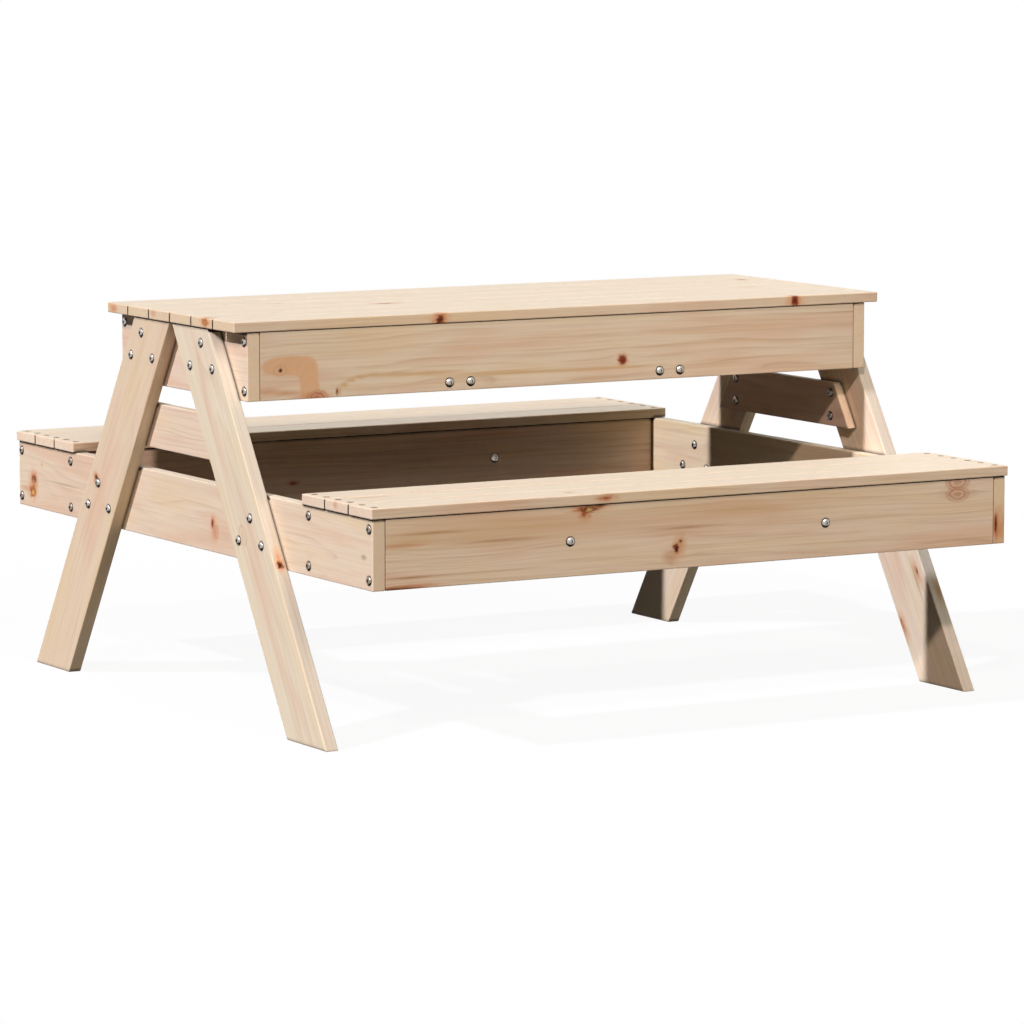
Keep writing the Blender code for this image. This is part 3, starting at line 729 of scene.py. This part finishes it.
def planed_pine(name):
    """The material of one board, cut from its own log."""
    material, tree = new_material("planed_pine_" + name)
    middle, turn, half = board_place(name)
    grain, width = turn.col[0], turn.col[1]
    seed = tuple(chance.uniform(-50, 50) for _ in range(3))
    pith, tilt, ring_width = figure_of(name)
    place = add_node(tree, "TexCoord").outputs
    point = add_node(tree, "Mapping", [place["Object"], middle, turn.to_euler(), (MM, MM, MM)],
                     vector_type="TEXTURE")
    bent, distances = bend_round_knots(tree, name, point)
    rings = add_node(tree, "Group", {"Point": bent, "Seed": seed, "Pith": pith, "Tilt": tilt,
                     "Ring Width": ring_width}, node_tree=RINGS)
    colour = grown_wood(tree, name, place["Normal"], width, bent, seed, rings)

    fibres = stretched_noise(tree, bent, seed, FIBRE_MM, 3.0)
    fine = stretched_noise(tree, bent, seed, FINE_FIBRE_MM, 2.0)
    both = add_node(tree, "Math MULTIPLY_ADD", [fine, 0.5, fibres])
    shade = add_node(tree, "MapRange", [both, *FIBRE_SPREAD, *FIBRE_SHADES])
    colour = add_node(tree, "VectorMath SCALE", {0: colour, "Scale": shade})

    facing = add_node(tree, "VectorMath DOT_PRODUCT", [place["Normal"], grain])
    turned_away = add_node(tree, "Math ABSOLUTE", [facing])
    end_share = add_node(tree, "MapRange", [turned_away, *FACES_SIDEWAYS, 0, END_GRAIN_SHARE])
    end_grain = linear(by_name(END_GRAINS, name))
    colour = add_node(tree, "Mix RGBA", {0: end_share, 6: colour, 7: end_grain})
    colour = marked_wood(tree, colour, distances)
    colour = shade_painted_wood(tree, name, place["Object"], point, half, colour)

    sheen = add_node(tree, "MapRange", [fibres, 0.3, 0.7, *PINE_ROUGHNESS])
    height = add_node(tree, "Math MULTIPLY_ADD", [rings, 0.5, both])
    relief = add_node(tree, "Bump", {"Height": height, "Strength": RELIEF_STRENGTH,
                      "Distance": RELIEF})
    wood = add_node(tree, "BsdfPrincipled", {"Base Color": colour, "Roughness": sheen,
                    "Normal": relief, "Specular IOR Level": PINE_GLOSS_LEVEL,
                    "Sheen Weight": FIBRE_SHEEN, "Sheen Roughness": FIBRE_SHEEN_ROUGHNESS})
    add_node(tree, "OutputMaterial", [wood])
    return material


def dress_board(name, material):
    """Put a material on a board without a change to its mesh."""
    for slot in nodes[name].material_slots:
        slot.link = "OBJECT"
        slot.material = material


boards = sorted(name for name in nodes if not name.startswith(("leg_bolt", "sandbox_floor")))
for name in boards:
    dress_board(name, planed_pine(name))
print("planed pine on", len(boards), "boards")

# %% [markdown]
# ## The plywood floor of the sandbox
#
# Plywood faces are peeled off a turning log like paper off a roll, so the knife follows the
# rings and the figure comes out very wide and wavy. The sand scuffs it dull. The same noise
# as before, stretched less and with much wider bands, gives that look.

# %% Plywood
VENEER_PALE, VENEER_BROWN = "#E2C9A6", "#C9A57C"
VENEER_WAVE_MM, VENEER_FIBRE_MM = (520, 110, 110), (60, 1.2, 1.2)
VENEER_BANDS = 14.0
VENEER_ROUGHNESS = 0.7


def peeled_plywood():
    """Pale veneer with wide brown bands that fade in and out."""
    material, tree = new_material("peeled_birch_plywood")
    place = add_node(tree, "TexCoord").outputs
    point = add_node(tree, "Mapping", {"Vector": place["Object"], "Scale": (MM, MM, MM)},
                     vector_type="TEXTURE")
    waves = stretched_noise(tree, point, (3, 8, 1), VENEER_WAVE_MM, 2.0)
    bands = add_node(tree, "Math MULTIPLY", [waves, VENEER_BANDS])
    band = add_node(tree, "Math PINGPONG", [bands, 1.0])
    fibres = stretched_noise(tree, point, (1, 2, 3), VENEER_FIBRE_MM, 3.0)
    share = add_node(tree, "Math MULTIPLY", [band, fibres])
    colour = add_node(tree, "Mix RGBA", {0: share, 6: linear(VENEER_PALE),
                      7: linear(VENEER_BROWN)})
    relief = add_node(tree, "Bump", {"Height": fibres, "Strength": 0.4, "Distance": 0.15 * MM})
    wood = add_node(tree, "BsdfPrincipled", {"Base Color": colour, "Roughness": VENEER_ROUGHNESS,
                    "Normal": relief})
    add_node(tree, "OutputMaterial", [wood])
    return material


dress_board("sandbox_floor", peeled_plywood())
print("sandbox floor is plywood")

# %% [markdown]
# ## Zinc-plated screws
#
# Outdoor furniture is put together with zinc-plated steel. The plating is bright but not
# polished: it came out of a tumbling barrel, so reflections are a little blurred and patchy.
# Darker zinc is painted shade: in the corners, sockets and rims of the heads, on their
# undersides, where it also stands for a dark reflection, on the heads on the shaded crossbars,
# and on the sunk seat heads.

# %% Bright and worn zinc, and darker zinc as painted shade
ZINC = "#B5AFA9"
WORN_ZINC = "#9A8F84"
CROSSBAR_SHADE_ZINC = "#81776C"
SEAT_SCREW_SHADE_ZINC = "#3F372F"
DARK_SHADE_ZINC = "#1E1916"
ZINC_ROUGHNESS = (0.2, 0.36)
BARREL_MARK_MM = 0.9
DENT_STRENGTH, DENT = 0.25, 0.1 * MM
# Painted shade: its reach out of corners, and the downward slopes of a head where it starts and is
# full
RIM_SHADE_REACH = 2.6 * MM
PAINTED_SHADE_BELOW = (-0.38, -0.14)


def zinc_plating(name, colour, shade_limits=(0.5, 0.85)):
    """Zinc with painted shade in its corners, and painted shade and dark reflection underneath."""
    material, tree = new_material(name)
    place = add_node(tree, "TexCoord").outputs
    marks = add_node(tree, "TexNoise", {"Vector": place["Object"],
                     "Scale": 1 / (BARREL_MARK_MM * MM), "Detail": 3.0})
    rough = add_node(tree, "MapRange", [marks, 0.3, 0.7, *ZINC_ROUGHNESS])
    dents = add_node(tree, "Bump", {"Height": marks, "Strength": DENT_STRENGTH, "Distance": DENT})
    open_air = add_node(tree, "AmbientOcclusion", {"Distance": RIM_SHADE_REACH}, samples=8)
    unshaded_share = add_node(tree, "MapRange", [open_air.outputs["AO"], *shade_limits])
    upward = add_node(tree, "SeparateXYZ", [place["Normal"]]).outputs[2]
    clear_of_shade_below = add_node(tree, "MapRange", [upward, *PAINTED_SHADE_BELOW])
    both = add_node(tree, "Math MULTIPLY", [unshaded_share, clear_of_shade_below])
    painted_shade_colour = add_node(tree, "Mix RGBA", {0: both, 6: linear(DARK_SHADE_ZINC), 7: linear(colour)})
    steel = add_node(tree, "BsdfPrincipled", {"Base Color": painted_shade_colour, "Metallic": 1.0,
                     "Roughness": rough, "Normal": dents})
    add_node(tree, "OutputMaterial", [steel])
    return material


zinc = zinc_plating("zinc_plated_steel", ZINC)
dark_shade_zinc = zinc_plating("zinc_painted_dark_shade", DARK_SHADE_ZINC)
lightly_shaded_zinc = zinc_plating("zinc_with_little_painted_shade", ZINC, (0.0, 0.15))
worn_zinc = zinc_plating("worn_zinc", WORN_ZINC)
# Painted shade: darker zinc for the heads on the crossbars, which lie in shade
crossbar_shade_zinc = zinc_plating("crossbar_zinc_painted_shade", CROSSBAR_SHADE_ZINC)
# Painted shade: dark zinc for the seat screws at the bottom of their countersinks
seat_screw_shade_zinc = zinc_plating("dirt_filled_zinc", SEAT_SCREW_SHADE_ZINC)
print("zinc materials made")

# %% [markdown]
# A domed head with a hexagon socket holds the boards, and a flat head sinks into the seats
# so that nobody sits on it. A turned shape is a half outline spun round its axis. The socket
# is cut out of it afterwards, which gives the crisp edge that catches the light.

# %% Turning and cutting a screw
TURNED_SIDES = 32
DOME_STEPS = 8
SHARP_ANGLE = math.radians(35)
HEAD_RADIUS = 6.5 * MM
HEAD_HEIGHT = 2.9 * MM
BOLT_HEAD_HEIGHT = 3.9 * MM
HEAD_RIM = 0.5 * MM
FLANGE_RADIUS, FLANGE_SHARE = 7.3 * MM, 0.8
SOCKET_RADIUS = 2.6 * MM
SOCKET_DEPTH = 1.5 * MM
SHANK_RADIUS = 2.2 * MM
SHANK_LENGTH = 12 * MM
FLAT_HEAD_RADIUS = 4.5 * MM
FLAT_HEAD_HEIGHT = 3.0 * MM
SLOT_WIDTH = 0.9 * MM
SLOT_LENGTH = 4.6 * MM
SLOT_DEPTH = 1.6 * MM
OVERRUN = 2 * MM
# Which faces lie in the socket, and which at its bottom, as shares of its radius
IN_SOCKET, SOCKET_BOTTOM = 0.95, 0.3


def dome_outline(seat, head_height):
    """Half outline of a domed head that sits at this height, from its crown to its flange."""
    dome = head_height - HEAD_RIM
    angles = [math.pi / 2 * (1 - step / DOME_STEPS) for step in range(DOME_STEPS + 1)]
    outline = [(HEAD_RADIUS * math.cos(angle), seat + HEAD_RIM + dome * math.sin(angle))
               for angle in angles]
    outline[0] = (0, seat + head_height)
    return outline + [(FLANGE_RADIUS, seat + HEAD_RIM * FLANGE_SHARE), (FLANGE_RADIUS, seat)]


def turned(name, outline, cutters, rim=(0, 0)):
    """A mesh spun from a half outline, less the cutters, with painted shade in its recess and rim.
    """
    mesh = bpy.data.meshes.new(name)
    edges = [(order, order + 1) for order in range(len(outline) - 1)]
    mesh.from_pydata([(radius, 0, height) for radius, height in outline], edges, [])
    pattern = link_object(name, mesh)
    spin = pattern.modifiers.new("turned", "SCREW")
    spin.steps = spin.render_steps = TURNED_SIDES
    spin.use_merge_vertices = True
    spin.merge_threshold = 0.01 * MM
    for cutter in cutters:
        boolean = pattern.modifiers.new("recess", "BOOLEAN")
        boolean.operation = "DIFFERENCE"
        boolean.solver = "EXACT"
        boolean.object = cutter
    bpy.context.view_layer.update()
    finished = pattern.evaluated_get(bpy.context.evaluated_depsgraph_get())
    result = bpy.data.meshes.new_from_object(finished)
    result.shade_smooth()
    result.set_sharp_from_angle(angle=SHARP_ANGLE)
    result.materials.clear()
    for plating in (zinc, dark_shade_zinc, lightly_shaded_zinc):
        result.materials.append(plating)
    # Painted shade: socket and rim faces get the dark zinc
    for face in result.polygons:
        from_axis = face.center.xy.length
        in_rim = rim[0] < abs(face.center.z) < rim[1]
        face.material_index = 1 if from_axis < SOCKET_RADIUS * IN_SOCKET or in_rim else 0
        # The bottom of a domed screw's socket gets zinc with little painted shade
        if from_axis < SOCKET_RADIUS * SOCKET_BOTTOM and rim[1] and face.normal.z != 0:
            face.material_index = 2
    for used in [pattern] + cutters:
        bpy.data.objects.remove(used, do_unlink=True)
    return result


def socket_cutter(top, direction=1):
    """A hexagon that reaches down into a head from its top."""
    shape = bmesh.new()
    bmesh.ops.create_cone(shape, cap_ends=True, segments=6, radius1=SOCKET_RADIUS,
                          radius2=SOCKET_RADIUS, depth=SOCKET_DEPTH + OVERRUN)
    middle = top + direction * (OVERRUN - SOCKET_DEPTH) / 2
    bmesh.ops.translate(shape, vec=(0, 0, middle), verts=shape.verts)
    return mesh_object("socket", shape)


def slot_cutter(turn):
    """One bar of a cross recess in a flat head."""
    shape = bmesh.new()
    bmesh.ops.create_cube(shape, size=1)
    size = (SLOT_LENGTH, SLOT_WIDTH, SLOT_DEPTH + OVERRUN)
    bmesh.ops.scale(shape, vec=size, verts=shape.verts)
    bmesh.ops.rotate(shape, matrix=Matrix.Rotation(turn, 3, "Z"), verts=shape.verts)
    bmesh.ops.translate(shape, vec=(0, 0, (OVERRUN - SLOT_DEPTH) / 2), verts=shape.verts)
    return mesh_object("slot", shape)


tip = [(SHANK_RADIUS, -SHANK_LENGTH), (0, -SHANK_LENGTH - SHANK_RADIUS)]
domed_head = dome_outline(0, HEAD_HEIGHT) + [(SHANK_RADIUS, 0)]
flat_head = [(0, 0), (FLAT_HEAD_RADIUS, 0), (SHANK_RADIUS, -FLAT_HEAD_HEIGHT)]
domed_screw = turned("domed_screw", domed_head + tip, [socket_cutter(HEAD_HEIGHT)],
                     (0, HEAD_RIM))
flat_screw = turned("flat_screw", flat_head + tip, [slot_cutter(0), slot_cutter(math.pi / 2)])
print("faces of a domed and a flat screw:", len(domed_screw.polygons), len(flat_screw.polygons))

# %% [markdown]
# ## Driving the screws
#
# All screws of one board are one object, because a scene with a hundred loose screws is hard
# to handle. Each screw is turned by a random angle, as a screwdriver leaves it.

# %% Placing a group of screws
def drive(name, screw, places, facing, body="frame", plating=zinc):
    """Copies of a screw at these places, with their heads facing one way."""
    shape = bmesh.new()
    axis = Vector([int(facing[0] + "1") if facing[1] == letter else 0 for letter in "XYZ"])
    outward = axis.to_track_quat("Z", "Y").to_matrix().to_4x4()
    for place in places:
        copy = screw.copy()
        twist = Matrix.Rotation(chance.uniform(0, math.pi), 4, "Z")
        copy.transform(Matrix.Translation(place) @ outward @ twist)
        shape.from_mesh(copy)
        bpy.data.meshes.remove(copy)
    group = mesh_object(name, shape)
    for material in (plating, dark_shade_zinc, lightly_shaded_zinc):
        group.data.materials.append(material)
    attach(group, body)
    return group


print("screws ready to drive")

# %% [markdown]
# The places of the screws are worked out from the boards' own boxes and a few workshop
# measures, so that every screw sits in its drilled hole. A leg is held by three in a triangle,
# which keeps it from turning and working loose.

# %% Screws of the frame
ENDS = {"left": -1, "right": 1}
SIDES = {"front": -1, "rear": 1}
SCREW_PITCH = PAIR_PITCH_MM * MM
SCREW_EDGE = 14.5 * MM
CROSSBAR_INSET = 28.5 * MM
UPPER_BOLT_RISE = 10 * MM
LEG_TOP_GAP = 6 * MM
SLAT_SPACING = 360 * MM
WEB_SPACING = 427 * MM


def face_of(name, facing):
    """Where a board's face lies, along the axis that it faces."""
    low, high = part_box(name)
    axis = "XYZ".index(facing[1])
    return (low if facing[0] == "-" else high)[axis]


def edge_heights(name):
    """Z of the screws near the lower and the upper edge of a board."""
    low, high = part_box(name)
    return low.z + SCREW_EDGE, high.z - SCREW_EDGE


leg_low, leg_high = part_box("leg_front_left")
leg_slope = math.tan(LEG_LEAN)
leg_width = (leg_high.y - leg_low.y) - leg_high.z * leg_slope


def leg_middle_y(height):
    """Y of the middle of a rear leg at this height."""
    return (LEG_TOP_GAP + leg_width) / 2 + (leg_high.z - height) * leg_slope


def leg_triangle(joint_z):
    """Y and Z of the three screws where a leg crosses a board."""
    low_z = joint_z - SCREW_PITCH / 2
    middle_y = leg_middle_y(low_z)
    return [(middle_y, low_z + SCREW_PITCH), (middle_y - SCREW_PITCH, low_z),
            (middle_y + SCREW_PITCH, low_z)]


for end, x_side in ENDS.items():
    outside, inside = ("-X", "+X") if x_side < 0 else ("+X", "-X")
    wall = "sandbox_end_" + end
    corner_y = middle_of("sandbox_side_rear").y
    drive("screws_" + wall, domed_screw,
          [(face_of(wall, outside), y_side * corner_y, z) for y_side in SIDES.values()
           for z in edge_heights(wall)], outside)
    for side, y_side in SIDES.items():
        leg = "leg_" + side + "_" + end
        drive("screws_" + leg, domed_screw,
              [(face_of(leg, outside), y_side * y, z)
               for y, z in leg_triangle(middle_of(wall).z + UPPER_BOLT_RISE)], outside)
    board = "end_board_" + end
    apron_ys = [middle_of("bench_rear_" + row + "_apron").y for row in ("outer", "inner")]
    drive("screws_" + board, domed_screw,
          [(face_of(board, outside), y_side * y, z) for y_side in SIDES.values()
           for y in apron_ys for z in edge_heights(board)], outside, plating=worn_zinc)
    bar = "crossbar_" + end
    bar_z = middle_of(bar).z
    reach = leg_middle_y(bar_z) - CROSSBAR_INSET
    drive("screws_" + bar, domed_screw,
          [(face_of(bar, inside), y_side * reach, bar_z + step * SCREW_PITCH)
           for y_side in SIDES.values() for step in PAIR], inside, plating=crossbar_shade_zinc)

for side, y_side in SIDES.items():
    outside, inside = ("-Y", "+Y") if y_side < 0 else ("+Y", "-Y")
    for row, facing in (("outer", outside), ("inner", inside)):
        apron = "bench_" + side + "_" + row + "_apron"
        drive("screws_" + apron, domed_screw,
              [(x_side * WEB_SPACING / 2, face_of(apron, facing), middle_of(apron).z)
               for x_side in ENDS.values()], facing)
    wall = "sandbox_side_" + side
    slat_z = middle_of("sandbox_slat_left").z
    drive("screws_" + wall, domed_screw,
          [(x_side * SLAT_SPACING / 2 + step * SCREW_PITCH, face_of(wall, outside), slat_z)
           for x_side in ENDS.values() for step in PAIR], outside)
print("frame screws driven")

# %% [markdown]
# Flat heads hold the planks. Those of the seats are sunk a little, and their zinc is painted
# dark, as painted shade. Those of the lid come up through its battens from below, so that the
# tabletop shows none.

# %% Screws of the seats and of the lid
FLAT_HEAD_DEPTH = 1.2 * MM

for side in SIDES:
    planks = sorted(name for name in nodes if name.startswith("seat_" + side))
    drive("screws_seat_" + side, flat_screw,
          [(middle_of("end_board_" + end).x, middle_of(plank).y + step * SCREW_PITCH,
            face_of(plank, "+Z") - FLAT_HEAD_DEPTH)
           for end in ENDS for plank in planks for step in PAIR], "+Z", plating=seat_screw_shade_zinc)

lid_planks = sorted(name for name in nodes if name.startswith("lid_plank"))
for end in ENDS:
    batten = "lid_batten_" + end
    low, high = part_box(batten)
    places = [(middle_of(batten).x, middle_of(plank).y + step * SCREW_PITCH, low.z)
              for plank in lid_planks for step in PAIR]
    drive("screws_" + batten, flat_screw,
          [place for place in places if low.y < place[1] < high.y], "-Z", "lid")
print("seat and lid screws driven")

# %% [markdown]
# ## Leg bolts
#
# The lower end of each leg carries the benches, so it is held by bolts with a sleeve nut that
# go right through both boards: a dome shows on each side. They are turned as one piece with
# two heads, longer than a screw by exactly the boards between the heads.

# %% Bolts through the legs
BOLT_RADIUS = 3.0 * MM

half_grip = (face_of("end_board_left", "+X") - face_of("leg_front_left", "-X")) / 2
upper_half = dome_outline(half_grip, BOLT_HEAD_HEIGHT) + [(BOLT_RADIUS, half_grip)]
lower_half = [(radius, -height) for radius, height in reversed(upper_half)]
leg_bolt = turned("leg_bolt", upper_half + lower_half,
                  [socket_cutter(half_grip + BOLT_HEAD_HEIGHT),
                   socket_cutter(-half_grip - BOLT_HEAD_HEIGHT, -1)],
                  (half_grip, half_grip + HEAD_RIM))
for end, x_side in ENDS.items():
    for side in SIDES:
        place = side + "_" + end
        bolts = sorted(name for name in nodes if name.startswith("leg_bolt_" + place))
        group = drive("leg_bolts_" + place, leg_bolt, [middle_of(bolt) for bolt in bolts],
                      "-X" if x_side < 0 else "+X")
        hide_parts(*bolts)
print("bolt grip in mm:", round(2 * half_grip / MM, 2))

# %% [markdown]
# ## Finish
#
# The size of the dressed table is printed.

# %% Print the size
low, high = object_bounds()
print("size in mm:", [round(side / MM, 1) for side in high - low])
